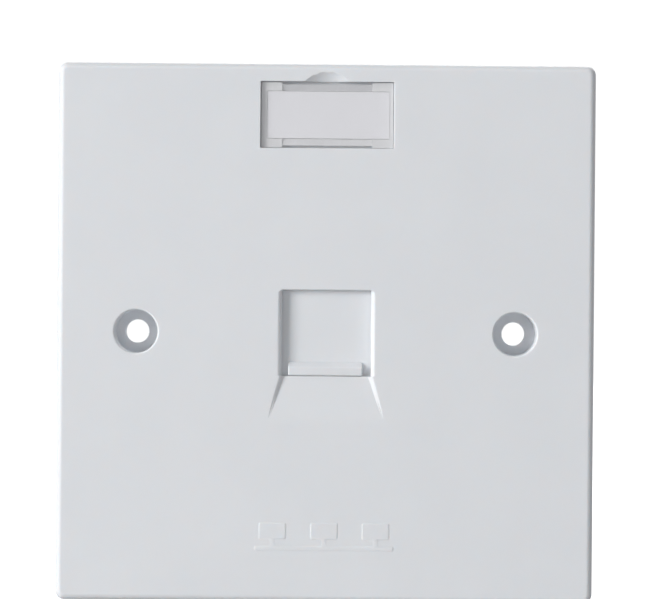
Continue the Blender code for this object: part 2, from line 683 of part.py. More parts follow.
def contact_points(x):
    """A contact's centre line: forward from the board, round a bend, and back down into the socket."""
    centre = Vector((x, CONTACT_BEND_Y, CONTACT_TOP_Z - CONTACT_BEND))
    points = [Vector((x, JACK_BACK_Y, CONTACT_TOP_Z))]
    steps = 6
    for step in range(steps + 1):
        angle = pi / 2 + CONTACT_TURN * step / steps
        points.append(centre + CONTACT_BEND * Vector((0, cos(angle), sin(angle))))
    heading = pi / 2 + CONTACT_TURN
    points.append(points[-1] + CONTACT_RUN * Vector((0, -sin(heading), cos(heading))))
    return points


def make_contacts():
    for number in range(CONTACTS):
        x = (number - (CONTACTS - 1) / 2) * CONTACT_PITCH
        contact = wire(f"contact_{number + 1}", contact_points(x), CONTACT_WIRE)
        finish(contact, "gold_contact", smooth=True)


def make_board():
    x, z = JACK_HALF_WIDTH, JACK_HALF_HEIGHT
    board = block("jack_board", (-x, BOARD_FRONT_Y, -z), (x, BOARD_FRONT_Y + BOARD_THICKNESS, z))
    finish(board, "green_board")


# ---- wire terminals -----------------------------------------------------------------------------


def terminal_places():
    """Number, side and height of each terminal, the left row first."""
    number = 0
    for side in (-1, 1):
        for row in range(TERMINALS_A_SIDE):
            number += 1
            yield number, side, (row - (TERMINALS_A_SIDE - 1) / 2) * TERMINAL_PITCH


def make_terminal_block():
    """The block behind the board: two rows of slotted towers, each slot with room for a forked blade."""
    x, z = JACK_HALF_WIDTH, JACK_HALF_HEIGHT
    body = block("idc_housing", (-x, BLOCK_FRONT_Y, -z), (x, TOWER_BACK_Y, z))
    past = TOWER_BACK_Y + PAST
    gap_low = (-TOWER_INNER, BLOCK_BASE_BACK_Y, -z - PAST)
    cut(body, block("tower_gap_cut", gap_low, (TOWER_INNER, past, z + PAST)))
    for number, side, height in terminal_places():
        slot = mirrored(
            side,
            (TOWER_INNER - ROOT, WIRE_SLOT_FRONT_Y, height - WIRE_SLOT_HALF),
            (x + PAST, past, height + WIRE_SLOT_HALF),
        )
        pocket = mirrored(
            side,
            (TERMINAL_X - POCKET_HALF_X, BLADE_POCKET_FRONT_Y, height - POCKET_HALF_Z),
            (TERMINAL_X + POCKET_HALF_X, past + PAST, height + POCKET_HALF_Z),
        )
        tail = mirrored(
            side,
            (TERMINAL_X - POCKET_HALF_X, BLOCK_FRONT_Y - PAST, height - BLADE_TAIL_HALF - GAP),
            (TERMINAL_X + POCKET_HALF_X, BLADE_POCKET_FRONT_Y + PAST, height + BLADE_TAIL_HALF + GAP),
        )
        cut(body, block(f"wire_slot_cut_{number}", *slot))
        cut(body, block(f"blade_pocket_cut_{number}", *pocket))
        cut(body, block(f"blade_tail_cut_{number}", *tail))
    finish(body, "jack_plastic")


def blade_outline():
    """A forked blade's outline: x across it, y from its tail to its tips."""
    shoulder = BLADE_POCKET_FRONT_Y + GAP
    tip = BLADE_BACK_Y
    half = [
        (BLADE_TAIL_HALF, BLOCK_FRONT_Y),
        (BLADE_TAIL_HALF, shoulder),
        (BLADE_HALF, shoulder),
        (BLADE_HALF, tip - BLADE_HALF / 2),
        (BLADE_HALF / 2 + BLADE_FORK_HALF, tip),
        (BLADE_FORK_HALF, tip - BLADE_HALF / 2),
        (BLADE_FORK_HALF, BLADE_FORK_FRONT_Y),
    ]
    return half + [(-x, y) for x, y in reversed(half)]


def make_blades():
    for number, side, height in terminal_places():
        blade = flat_outline(f"idc_blade_{number}", blade_outline(), BLADE_THICKNESS)
        blade.rotation_euler = (0, pi / 2, 0)
        blade.location = (side * TERMINAL_X, 0, height)
        finish(blade, "tin_blade")


def make_wire_cap(side, name):
    """The snap-on cap over one row: a shell with a notch and an inner tooth for each wire."""
    inner_x0, inner_x1 = TOWER_INNER - GAP, JACK_HALF_WIDTH + GAP
    inner_z = JACK_HALF_HEIGHT + GAP
    front, floor = BLOCK_BASE_BACK_Y + GAP, TOWER_BACK_Y + GAP
    outer = mirrored(
        side,
        (inner_x0 - CAP_WALL, front, -inner_z - CAP_WALL),
        (inner_x1 + CAP_WALL, CAP_BACK_Y, inner_z + CAP_WALL),
    )
    cap = block(f"wire_cap_{name}", *outer)
    round_edges(cap, 0.4 * MM)
    inside = mirrored(side, (inner_x0, front - PAST, -inner_z), (inner_x1, floor, inner_z))
    cut(cap, block(f"cap_inside_cut_{name}", *inside))
    for number, row_side, height in terminal_places():
        if row_side != side:
            continue
        notch = mirrored(
            side,
            (inner_x0 - CAP_WALL - PAST, front - PAST, height - CAP_SLOT_HALF),
            (inner_x1 + CAP_WALL + PAST, CAP_SLOT_BACK_Y, height + CAP_SLOT_HALF),
        )
        cut(cap, block(f"cap_notch_cut_{number}", *notch))
        tooth = mirrored(
            side,
            (inner_x0 - ROOT, floor - CAP_TOOTH_LENGTH, height - CAP_TOOTH_HALF),
            (TERMINAL_X - POCKET_HALF_X - GAP, floor + ROOT, height + CAP_TOOTH_HALF),
        )
        join(cap, block(f"cap_tooth_{number}", *tooth))
    finish(cap, "cap_plastic")


def main():
    make_face_plate()
    make_label()
    make_shutter()
    make_springs()
    make_carrier()
    for number, (x, z) in enumerate(SCREW_PLACES, 1):
        make_carrier_screw(number, x, z)
    make_jack_housing()
    make_contacts()
    make_board()
    make_terminal_block()
    make_blades()
    make_wire_cap(-1, "left")
    make_wire_cap(1, "right")


main()
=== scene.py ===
from math import cos, pi, radians, sin

import bmesh
import bpy
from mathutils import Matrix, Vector


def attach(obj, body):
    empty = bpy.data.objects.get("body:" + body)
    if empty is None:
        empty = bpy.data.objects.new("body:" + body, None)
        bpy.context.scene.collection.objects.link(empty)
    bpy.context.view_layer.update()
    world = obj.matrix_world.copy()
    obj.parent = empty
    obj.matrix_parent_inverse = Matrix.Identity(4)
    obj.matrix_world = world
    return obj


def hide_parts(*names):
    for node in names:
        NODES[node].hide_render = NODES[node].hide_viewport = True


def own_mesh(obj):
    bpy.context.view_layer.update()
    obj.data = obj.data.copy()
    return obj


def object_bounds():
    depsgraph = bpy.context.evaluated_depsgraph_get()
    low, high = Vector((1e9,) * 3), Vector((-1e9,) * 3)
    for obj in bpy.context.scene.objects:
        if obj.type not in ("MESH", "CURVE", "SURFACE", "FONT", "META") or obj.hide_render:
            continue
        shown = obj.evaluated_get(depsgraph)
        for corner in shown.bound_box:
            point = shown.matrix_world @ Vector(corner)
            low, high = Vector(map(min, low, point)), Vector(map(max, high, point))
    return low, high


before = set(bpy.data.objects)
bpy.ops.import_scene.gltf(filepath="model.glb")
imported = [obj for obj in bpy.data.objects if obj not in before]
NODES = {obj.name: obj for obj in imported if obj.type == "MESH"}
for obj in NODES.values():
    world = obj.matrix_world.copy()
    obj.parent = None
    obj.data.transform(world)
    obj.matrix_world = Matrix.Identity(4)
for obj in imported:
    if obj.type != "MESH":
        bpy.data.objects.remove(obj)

CAD_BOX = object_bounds()
MM = 0.001

# The wall plate's main sizes, the same as the CAD part's
PLATE_BACK_HALF = 43.0 * MM
PLATE_FRONT_HALF = 42.7 * MM
FRONT_Y = -9.0 * MM
WALL_BACK_Y = -7.0 * MM
BAY_FRONT_Y = -7.8 * MM
INNER_HALF = 41.2 * MM
FIXING_X = 30.15 * MM
SPRING_X, SPRING_Y = 9.85 * MM, -5.7 * MM
JACK_HALF_X, JACK_HALF_Z = 7.1 * MM, 8.0 * MM
LABEL_Z = 34.65 * MM
PORT_X = 0.15 * MM  # the opening sits a little to the right of the shutter
ROOT = 0.5 * MM  # how far an added feature reaches into what it stands on
SCREW_PLACES = [(side * 15.6 * MM, z * MM) for z in (17.6, -10.4) for side in (-1, 1)]


# ---- mesh tools ---------------------------------------------------------------------------------


def in_mm(pairs):
    """Pairs of millimetres in metres."""
    return [(a * MM, b * MM) for a, b in pairs]


def evaluated_mesh(obj):
    """A new mesh of the object with its modifiers, or its curve's bevel, worked out."""
    bpy.context.view_layer.update()
    evaluated = obj.evaluated_get(bpy.context.evaluated_depsgraph_get())
    return bpy.data.meshes.new_from_object(evaluated)


def new_piece(name, bm):
    mesh = bpy.data.meshes.new(name)
    bmesh.ops.recalc_face_normals(bm, faces=bm.faces)
    bm.to_mesh(mesh)
    bm.free()
    obj = bpy.data.objects.new(name, mesh)
    bpy.context.scene.collection.objects.link(obj)
    return obj


def loft(name, rings):
    """A closed solid through rings of points, with a flat end on the first and the last."""
    bm = bmesh.new()
    loops = [[bm.verts.new(point) for point in ring] for ring in rings]
    for low, high in zip(loops, loops[1:]):
        for i in range(len(low)):
            j = (i + 1) % len(low)
            bm.faces.new((low[i], low[j], high[j], high[i]))
    bm.faces.new(loops[0][::-1])
    bm.faces.new(loops[-1])
    return new_piece(name, bm)


def outline(half_x, half_z, radius, y, x=0.0, z=0.0, steps=6):
    """A rectangle with round corners, at one depth."""
    points = []
    for sx, sz, start in ((1, 1, 0), (-1, 1, 90), (-1, -1, 180), (1, -1, 270)):
        corner = Vector((x + sx * (half_x - radius), y, z + sz * (half_z - radius)))
        for step in range(steps + 1):
            angle = radians(start + 90 * step / steps)
            points.append(corner + radius * Vector((cos(angle), 0, sin(angle))))
    return points


def lathe(name, profile, x, z, steps=96):
    """A solid turned about an axis along Y, through (radius, y) pairs."""
    turns = [2 * pi * step / steps for step in range(steps)]
    return loft(name, [[(x + r * cos(a), y, z + r * sin(a)) for a in turns] for r, y in profile])


def lathe_z(name, profile, x, y, steps=32):
    """A solid turned about an axis along Z, through (radius, z) pairs."""
    turns = [2 * pi * step / steps for step in range(steps)]
    return loft(name, [[(x + r * cos(a), y + r * sin(a), z) for a in turns] for r, z in profile])


def soft_block(name, low, high, radius=0.2 * MM, segments=2):
    """A box between two corners, with every edge rounded."""
    low, high = Vector(low), Vector(high)
    bm = bmesh.new()
    bmesh.ops.create_cube(bm, size=1.0)
    for vert in bm.verts:
        vert.co = Vector(a if c < 0 else b for a, b, c in zip(low, high, vert.co))
    if radius:
        bmesh.ops.bevel(bm, geom=bm.edges[:], offset=radius, segments=segments, affect="EDGES", profile=0.5)
    return new_piece(name, bm)


def side_block(side, name, low, high, radius=0.2 * MM, segments=2):
    """A soft block given for the right-hand side, on the side whose sign is given."""
    xs = sorted((side * low[0], side * high[0]))
    return soft_block(name, (xs[0], *low[1:]), (xs[1], *high[1:]), radius, segments)


def combine(obj, others, operation):
    """Joins the other solids to obj, or cuts them from it, and removes them."""
    for other in others:
        modifier = obj.modifiers.new(other.name, "BOOLEAN")
        modifier.operation = operation
        modifier.solver = "EXACT"
        modifier.object = other
    result = evaluated_mesh(obj)
    obj.modifiers.clear()
    obj.data = result
    for other in others:
        bpy.data.objects.remove(other, do_unlink=True)
    return obj


def join(obj, *others):
    return combine(obj, others, "UNION")


def cut(obj, *others):
    return combine(obj, others, "DIFFERENCE")


def level_faces(obj):
    """Shades rounds smoothly into their neighbours and keeps every wide flat face flat."""
    wide = 0.8 * MM
    modifier = obj.modifiers.new("even_normals", "WEIGHTED_NORMAL")
    modifier.keep_sharp = True
    mesh = evaluated_mesh(obj)
    normals = [Vector(corner.vector) for corner in mesh.corner_normals]
    for face in mesh.polygons:
        around = sum((mesh.vertices[a].co - mesh.vertices[b].co).length for a, b in face.edge_keys)
        if 4 * face.area > wide * around:
            for corner in face.loop_indices:
                normals[corner] = face.normal.copy()
                mesh.edges[mesh.loops[corner].edge_index].use_edge_sharp = True
    mesh.normals_split_custom_set(normals)
    obj.modifiers.clear()
    obj.data = mesh


def show(obj, body, material, nodes, angle=38, even=True):
    """Makes a finished mesh stand for its CAD nodes."""
    obj.data.materials.clear()
    for each in material if isinstance(material, list) else [material]:
        obj.data.materials.append(each)
    obj.data.shade_smooth()
    obj.data.set_sharp_from_angle(angle=radians(angle))
    if even:
        level_faces(obj)
    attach(obj, body)
    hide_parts(*nodes)
    return obj


def rim(radius, first=12.0, reach=0.6 * MM, steps=7):
    """(depth below the face, growth of the outline) down a rounded rim, from above the face to its foot."""
    start = radians(first)
    depth, growth = radius * (1 - cos(start)), radius * (1 - sin(start))
    tip = (depth - reach * sin(start), growth + reach * cos(start))
    rings = [(-1.0 * MM, tip[1]), tip]
    for step in range(steps + 1):
        angle = start + (pi / 2 - start) * step / steps
        rings.append((radius * (1 - cos(angle)), radius * (1 - sin(angle))))
    return rings


# ---- materials ----------------------------------------------------------------------------------


class Finish:
    """A procedural material: object-space noise feeds its colour, roughness and bump."""

    def __init__(self, name, colour, roughness, metallic=0.0, ior=1.5):
        self.material = bpy.data.materials.new(name)
        self.material.use_nodes = True
        self.tree = self.material.node_tree
        self.shader = self.tree.nodes["Principled BSDF"]
        self.shader.inputs["Base Color"].default_value = (*colour, 1.0)
        self.shader.inputs["Roughness"].default_value = roughness
        self.shader.inputs["Metallic"].default_value = metallic
        self.shader.inputs["IOR"].default_value = ior
        self.colour = colour
        self.roughness = roughness
        self.place = self.node("ShaderNodeTexCoord").outputs["Object"]
        self.height = None

    def node(self, kind, **settings):
        node = self.tree.nodes.new(kind)
        for key, value in settings.items():
            setattr(node, key, value)
        return node

    def link(self, output, socket):
        self.tree.links.new(output, socket)

    def stretched(self, scale):
        mapping = self.node("ShaderNodeMapping")
        mapping.inputs["Scale"].default_value = scale
        self.link(self.place, mapping.inputs["Vector"])
        return mapping.outputs["Vector"]

    def noise(self, size, detail=3.0, roughness=0.5, stretch=None):
        """Noise with features of that size in metres."""
        noise = self.node("ShaderNodeTexNoise")
        noise.inputs["Scale"].default_value = 1 / size
        noise.inputs["Detail"].default_value = detail
        noise.inputs["Roughness"].default_value = roughness
        self.link(self.stretched(stretch) if stretch else self.place, noise.inputs["Vector"])
        return noise.outputs["Fac"]

    def spread(self, value, low, high, at_low=0.3, at_high=0.7):
        """Turns noise into a number between low and high."""
        between = self.node("ShaderNodeMapRange")
        between.inputs["From Min"].default_value = at_low
        between.inputs["From Max"].default_value = at_high
        between.inputs["To Min"].default_value = low
        between.inputs["To Max"].default_value = high
        self.link(value, between.inputs["Value"])
        return between.outputs["Result"]

    def tint(self, value, other, low=0.35, high=0.65):
        """Mixes the base colour towards another one where the noise is high."""
        ramp = self.node("ShaderNodeValToRGB")
        ramp.color_ramp.elements[0].position = low
        ramp.color_ramp.elements[1].position = high
        ramp.color_ramp.elements[0].color = (*self.colour, 1.0)
        ramp.color_ramp.elements[1].color = (*other, 1.0)
        self.link(value, ramp.inputs["Fac"])
        self.link(ramp.outputs["Color"], self.shader.inputs["Base Color"])

    def gloss(self, value, low, high):
        self.link(self.spread(value, low, high), self.shader.inputs["Roughness"])

    def bump(self, value, height):
        """Adds relief of that height in metres."""
        bump = self.node("ShaderNodeBump")
        bump.inputs["Strength"].default_value = 1.0
        bump.inputs["Distance"].default_value = height
        self.link(value, bump.inputs["Height"])
        if self.height is not None:
            self.link(self.height, bump.inputs["Normal"])
        self.height = bump.outputs["Normal"]
        self.link(self.height, self.shader.inputs["Normal"])


def moulded_plastic(name, colour, shade, roughness, grain=0.0016 * MM, waves=0.006 * MM):
    """Injection-moulded plastic: light soaks in a little, under fine grain, flow waves and faint scuffs."""
    finish = Finish(name, colour, roughness)
    finish.shader.inputs["Subsurface Weight"].default_value = 0.75
    finish.shader.inputs["Subsurface Radius"].default_value = (1.0, 0.9, 0.85)
    finish.shader.inputs["Subsurface Scale"].default_value = 0.42 * MM
    finish.tint(finish.noise(14 * MM, 2.0), shade)
    handled = finish.noise(9 * MM, 4.0, 0.6)
    finish.gloss(handled, roughness - 0.07, roughness + 0.08)
    finish.bump(finish.noise(11 * MM, 1.0), waves)
    finish.bump(finish.noise(0.35 * MM, 2.0, 0.6), grain)
    finish.bump(finish.noise(2.2 * MM, 3.0, 0.55, stretch=(1.0, 1.0, 7.0)), grain / 2)
    return finish.material


def metal(name, colour, dark, roughness, grain=0.15 * MM, stretch=(1.0, 6.0, 1.0), height=0.002 * MM):
    """Drawn or plated metal: streaks along its length, with dull spots."""
    finish = Finish(name, colour, roughness, 1.0)
    finish.tint(finish.noise(0.9 * MM, 3.0), dark, 0.45, 0.8)
    finish.gloss(finish.noise(0.5 * MM, 4.0), roughness - 0.08, roughness + 0.14)
    finish.bump(finish.noise(grain, 2.0, 0.5, stretch), height)
    return finish.material


def clear_plastic(name, colour, roughness, alpha):
    """A thin clear moulding that lets light straight through, with a faint haze of fine scratches."""
    finish = Finish(name, colour, roughness, 0.0, 1.49)
    finish.shader.inputs["Alpha"].default_value = alpha
    finish.gloss(finish.noise(3.0 * MM, 4.0), roughness * 0.6, roughness * 1.7)
    finish.tint(finish.noise(5.0 * MM, 3.0), [c * 0.97 for c in colour])
    finish.bump(finish.noise(1.2 * MM, 2.0, 0.5, (1.0, 1.0, 5.0)), 0.0012 * MM)
    return finish.material


def paper(name, colour, fibre):
    finish = Finish(name, colour, 0.85)
    finish.tint(finish.noise(0.5 * MM, 4.0, 0.65, (1.0, 1.0, 2.2)), fibre, 0.3, 0.75)
    finish.bump(finish.noise(0.25 * MM, 4.0, 0.7, (1.0, 1.0, 2.0)), 0.006 * MM)
    return finish.material


def circuit_board(name, mask, edge):
    """Green mask over woven glass on the faces, and the pressed layers along the cut edges."""
    finish = Finish(name, mask, 0.38)
    split = finish.node("ShaderNodeSeparateXYZ")
    finish.link(finish.tree.nodes["Texture Coordinate"].outputs["Normal"], split.inputs["Vector"])
    facing = finish.node("ShaderNodeMath", operation="ABSOLUTE")
    finish.link(split.outputs["Y"], facing.inputs[0])
    layers = finish.node("ShaderNodeTexWave", wave_type="BANDS", bands_direction="Y")
    layers.inputs["Scale"].default_value = 1 / (0.9 * MM)
    layers.inputs["Distortion"].default_value = 1.2
    finish.link(finish.place, layers.inputs["Vector"])
    fibre = finish.node("ShaderNodeMix", data_type="RGBA")
    fibre.inputs["A"].default_value = (*edge, 1.0)
    fibre.inputs["B"].default_value = (*[c * 0.62 for c in edge], 1.0)
    finish.link(layers.outputs["Fac"], fibre.inputs["Factor"])
    weave = finish.node("ShaderNodeTexChecker")
    weave.inputs["Scale"].default_value = 1 / (0.45 * MM)
    weave.inputs["Color1"].default_value = (*mask, 1.0)
    weave.inputs["Color2"].default_value = (*[c * 1.18 for c in mask], 1.0)
    finish.link(finish.place, weave.inputs["Vector"])
    whole = finish.node("ShaderNodeMix", data_type="RGBA")
    finish.link(finish.spread(facing.outputs[0], 0.0, 1.0, 0.4, 0.6), whole.inputs["Factor"])
    finish.link(fibre.outputs["Result"], whole.inputs["A"])
    finish.link(weave.outputs["Color"], whole.inputs["B"])
    finish.link(whole.outputs["Result"], finish.shader.inputs["Base Color"])
    finish.bump(finish.noise(0.3 * MM, 3.0), 0.004 * MM)
    return finish.material


WHITE = moulded_plastic("white_abs", (0.862, 0.878, 0.905), (0.850, 0.866, 0.893), 0.54)
JACK_WHITE = moulded_plastic("jack_pc", (0.81, 0.81, 0.79), (0.785, 0.785, 0.765), 0.40, 0.001 * MM)
CAP_PALE = moulded_plastic("cap_pc", (0.60, 0.655, 0.70), (0.57, 0.625, 0.67), 0.30, 0.0008 * MM)
CLEAR = clear_plastic("clear_ps", (0.86, 0.86, 0.89), 0.12, 0.10)
CLEAR_THICK = clear_plastic("clear_ps_thick", (0.93, 0.93, 0.95), 0.24, 0.62)
# A lighter copy of the thick clear plastic: painted light. It is set on the lower bar and the window's ends
# so that they read lighter than the shaded upper bar.
CLEAR_PAINTED_LIGHT = clear_plastic("clear_ps_painted_light", (0.97, 0.97, 0.98), 0.24, 0.78)
CARD = paper("card_paper", (0.89, 0.885, 0.91), (0.87, 0.865, 0.89))
STEEL = metal("spring_wire", (0.56, 0.56, 0.57), (0.38, 0.37, 0.36), 0.30)
ZINC = metal("zinc_plate", (0.66, 0.67, 0.70), (0.52, 0.53, 0.55), 0.34, 0.3 * MM, (1.0, 1.0, 1.0))
GOLD = metal("gold_plate", (0.86, 0.62, 0.26), (0.70, 0.48, 0.20), 0.22, 0.1 * MM)
TIN = metal("tin_plate", (0.74, 0.74, 0.76), (0.58, 0.58, 0.60), 0.34)
BOARD = circuit_board("circuit_board", (0.022, 0.17, 0.075), (0.50, 0.43, 0.22))


# ---- face plate ---------------------------------------------------------------------------------


def plate_body():
    """The moulding's outside: a drafted skirt, a small round at the wall and a full round at the front."""
    corner, edge, foot = 1.4 * MM, 0.98 * MM, 0.3 * MM

    def ring(y, inset):
        share = y / FRONT_Y
        half = PLATE_BACK_HALF + (PLATE_FRONT_HALF - PLATE_BACK_HALF) * share - inset
        return outline(half, half, max(corner - inset, 0.3 * MM), y, steps=8)

    rings = []
    for step in range(4):
        angle = pi / 2 * step / 3
        rings.append(ring(-foot * (1 - cos(angle)), foot * (1 - sin(angle))))
    for step in range(10):
        angle = pi / 2 * step / 9
        rings.append(ring(FRONT_Y + edge * (1 - sin(angle)), edge * (1 - cos(angle))))
    return loft("wall_plate", rings)


def port_cutter():
    """The way through to the shutter, with a full round along its sides and hardly any along its top."""
    half, top, bottom = 7.1 * MM, 6.79 * MM, -6.92 * MM
    radius = 0.75 * MM
    rings = []
    for depth, growth in rim(radius) + [(1.4 * MM, -0.02 * MM)]:
        corner = 0.25 * MM + max(growth, 0)
        arch = outline(half + growth, top + growth / 6, corner, FRONT_Y + depth, PORT_X)
        upper = arch[: len(arch) // 2]
        right, left = upper[0], upper[-1]
        rings.append(upper + [(left.x, left.y, bottom), (right.x, right.y, bottom)])
    return loft("port_cut", rings)


def ramp_cutter():
    """The sloped finger way below the port, between flared sides with soft edges."""
    top_z, foot_z, far_z = -6.85 * MM, -13.8 * MM, -15.4 * MM
    slope = 0.58 / 6.9
    flare, foot_top = 0.344, 6.76 * MM  # how the foot of each side runs outwards on the way down
    lip = 0.55 * MM  # how far the cut reaches past the rounded edge, above the face
    rings = []
    steps = 30
    for step in range(steps + 1):
        z = top_z + (far_z - top_z) * step / steps
        depth = slope * (z - foot_z)
        soft = max(0.0, min(1.0, depth / (0.30 * MM)))
        foot_x = foot_top + flare * (-7.0 * MM - z)
        half = foot_x + 0.10 * MM + 0.7 * max(depth, 0.0)
        side = [
            (half + lip, -0.16 * MM),
            (half + 0.22 * MM * soft, 0.008 * MM),
            (half + 0.07 * MM * soft, 0.04 * MM),
            (half - 0.05 * MM * soft, 0.12 * MM),
            (foot_x + 0.08 * MM * soft, depth - 0.14 * MM * soft),
            (foot_x - 0.02 * MM * soft, depth - 0.04 * MM * soft),
            (foot_x - 0.18 * MM * soft, depth),
        ]
        side = [(x, FRONT_Y + min(d, depth)) for x, d in side]
        top = [(half + lip, FRONT_Y - 2 * MM)]
        right = top + side
        left = [(-x, y) for x, y in reversed(right)]
        rings.append([(x + PORT_X, y, z) for x, y in right + left])
    return loft("ramp_cut", rings)


def pocket_cutter():
    """The label's pocket, with a small round along its mouth."""
    rings = []
    for depth, growth in rim(0.10 * MM, 16.0, 0.3 * MM, 4) + [(1.8 * MM, 0.0)]:
        half_x, half_z = 10.6 * MM + growth, 5.3 * MM + growth
        rings.append(outline(half_x, half_z, 0.12 * MM + growth, FRONT_Y + depth, z=LABEL_Z))
    return loft("pocket_cut", rings)


def notch_cutter():
    """The fingernail notch: a shallow hollow that a ball leaves, above the middle of the window."""
    radius, centre = 8.36 * MM, (0, -15.54 * MM, 36.33 * MM)
    bm = bmesh.new()
    bmesh.ops.create_uvsphere(bm, u_segments=128, v_segments=64, radius=radius)
    bmesh.ops.translate(bm, vec=centre, verts=bm.verts)
    return new_piece("notch_cut", bm)


def recess_cutter(x):
    """A screw's recess: a rounded mouth, a soft foot, and the clearance hole with broken edges."""
    radius, floor, hole = 3.45 * MM, -3.4 * MM, 1.85 * MM
    profile = [(radius + growth, FRONT_Y + depth) for depth, growth in rim(0.3 * MM, 16.0, 0.3 * MM, 5)]
    profile += [(radius, floor - 0.25 * MM), (radius - 0.08 * MM, floor - 0.07 * MM)]
    profile += [(radius - 0.28 * MM, floor), (hole + 0.14 * MM, floor), (hole + 0.04 * MM, floor + 0.05 * MM)]
    profile += [(hole, floor + 0.16 * MM), (hole, -1.7 * MM), (hole + 0.25 * MM, -1.4 * MM)]
    profile += [(hole + 0.25 * MM, 0.5 * MM)]
    return lathe("recess_cut", profile, x, 0.0)


def back_features():
    """What stands on the back of the front wall: label box, ribs, rails, spring stops, cups and bosses."""
    root = WALL_BACK_Y - ROOT
    rib_at, rib_half = 21.6 * MM, 0.5 * MM
    box = (-12.1 * MM, root, 27.85 * MM), (12.1 * MM, -5.8 * MM, 41.45 * MM)
    made = [soft_block("label_box", *box, 0.3 * MM)]
    end = INNER_HALF + ROOT
    for side in (-1, 1):
        low, high = side * rib_at - rib_half, side * rib_at + rib_half
        made.append(soft_block("rib", (low, root, -end), (high, -5.4 * MM, end), 0.25 * MM))
        across = (-end + 0.1 * MM, root + 0.07 * MM, low + MM), (end - 0.1 * MM, -5.36 * MM, high + MM)
        made.append(soft_block("cross_rib", *across, 0.22 * MM))
    for side in (-1, 1):
        rail = (11.68 * MM, root + 0.03 * MM, -8.1 * MM), (12.9 * MM, -3.9 * MM, 20.6 * MM)
        made.append(side_block(side, "rail", *rail, 0.2 * MM))
        stop = (8.6 * MM, BAY_FRONT_Y - ROOT, 12.6 * MM), (12.3 * MM, -3.94 * MM, 14.2 * MM)
        made.append(side_block(side, "stop", *stop, 0.17 * MM))
        peg = [(0.55, 13.1), (0.55, 11.4), (0.45, 11.23), (0.3, 11.2)]
        made.append(lathe_z("peg", in_mm(peg), side * SPRING_X, SPRING_Y))
        cup = [(5.2, -7.5), (5.2, -1.75), (5.1, -1.5), (4.85, -1.4)]
        made.append(lathe("cup", in_mm(cup), side * FIXING_X, 0.0, 72))
    for x, z in SCREW_PLACES:
        boss = [(2.4, -7.5), (2.4, -4.15), (2.33, -3.97), (2.15, -3.9)]
        made.append(lathe("boss", in_mm(boss), x, z, 48))
    return made


def relief_block(low_x, high_x, low_z, high_z, height):
    """A low pad on the face with wide sloping flanks."""
    x, z = (low_x + high_x) / 2, (low_z + high_z) / 2
    half_x, half_z = (high_x - low_x) / 2, (high_z - low_z) / 2
    rings = []
    for rise, inset in ((-4.0, 0.0), (0.12, 0.0), (0.5, 0.07), (0.85, 0.16), (1.0, 0.26)):
        y = FRONT_Y - rise * height
        rings.append(outline(half_x - inset * MM, half_z - inset * MM, (0.32 - inset) * MM, y, x, z, 3))
    return loft("relief", rings)


def pictogram():
    """A low relief near the lower edge: three terminals on stems above one line."""
    foot, height = -34.7 * MM, 0.07 * MM
    line_half, stem_half, sign_half, pitch = 11.1 * MM, 0.4 * MM, 2.2 * MM, 8.2 * MM
    signs = [relief_block(-line_half, line_half, foot, foot + 0.8 * MM, height)]
    for number in (-1, 0, 1):
        x = number * pitch
        stem = x - stem_half, x + stem_half, foot + 0.1 * MM, foot + 2.6 * MM
        sign = x - sign_half, x + sign_half, foot + 1.8 * MM, foot + 4.5 * MM
        signs += [relief_block(*stem, height * 0.96), relief_block(*sign, height * 1.04)]
    return signs


def make_face_plate():
    plate = join(plate_body(), *pictogram())
    hollow = (-INNER_HALF, WALL_BACK_Y, -INNER_HALF), (INNER_HALF, 3 * MM, INNER_HALF)
    bay = (-11.7 * MM, BAY_FRONT_Y, -8.1 * MM), (11.7 * MM, -6.0 * MM, 20.6 * MM)
    cut(plate, soft_block("hollow_cut", *hollow, 0.8 * MM, 4), soft_block("bay_cut", *bay, 0.15 * MM))
    join(plate, *back_features())
    bosses = [(1.3, -7.3), (1.3, -4.2), (1.5, -3.9), (1.5, 1.0)]
    holes = [lathe("hole_cut", in_mm(bosses), x, z, 32) for x, z in SCREW_PLACES]
    cut(plate, *holes, recess_cutter(-FIXING_X), recess_cutter(FIXING_X))
    cut(plate, pocket_cutter(), notch_cutter(), port_cutter(), ramp_cutter())
    show(plate, "plate", WHITE, ["face_plate"])


# ---- label --------------------------------------------------------------------------------------


def window_bar(name, side):
    """A bar along the back of the window's edge, its front sloped towards the card."""
    outer, inner = LABEL_Z + side * 4.87 * MM, LABEL_Z + side * 3.8 * MM
    section = [(-8.29, outer), (-8.05, inner), (-7.5, inner), (-7.5, outer)]
    rings = []
    for x, shrink in ((-7.2, 0.04), (-7.16, 0.0), (7.16, 0.0), (7.2, 0.04)):
        middle = (outer + inner) / 2
        rings.append([(x * MM, y * MM, middle + (z - middle) * (1 - shrink)) for y, z in section])
    return loft(name, rings)


def window_edge(side, name):
    """The window's thicker end, with an arm along the top and the bottom as far as the bars."""
    z, inner = LABEL_Z, (9.97 if side > 0 else 9.62) * MM
    low, high = (7.17 * MM, -8.33 * MM, z - 5.2 * MM), (10.5 * MM, -8.0 * MM, z + 5.2 * MM)
    edge = side_block(side, f"clear_window_end_{name}", low, high, 0.03 * MM)
    middle = (6.0 * MM, -9.0 * MM, z - 3.8 * MM), (inner, -7.0 * MM, z + 3.8 * MM)
    return cut(edge, side_block(side, "middle_cut", *middle, 0.2 * MM))


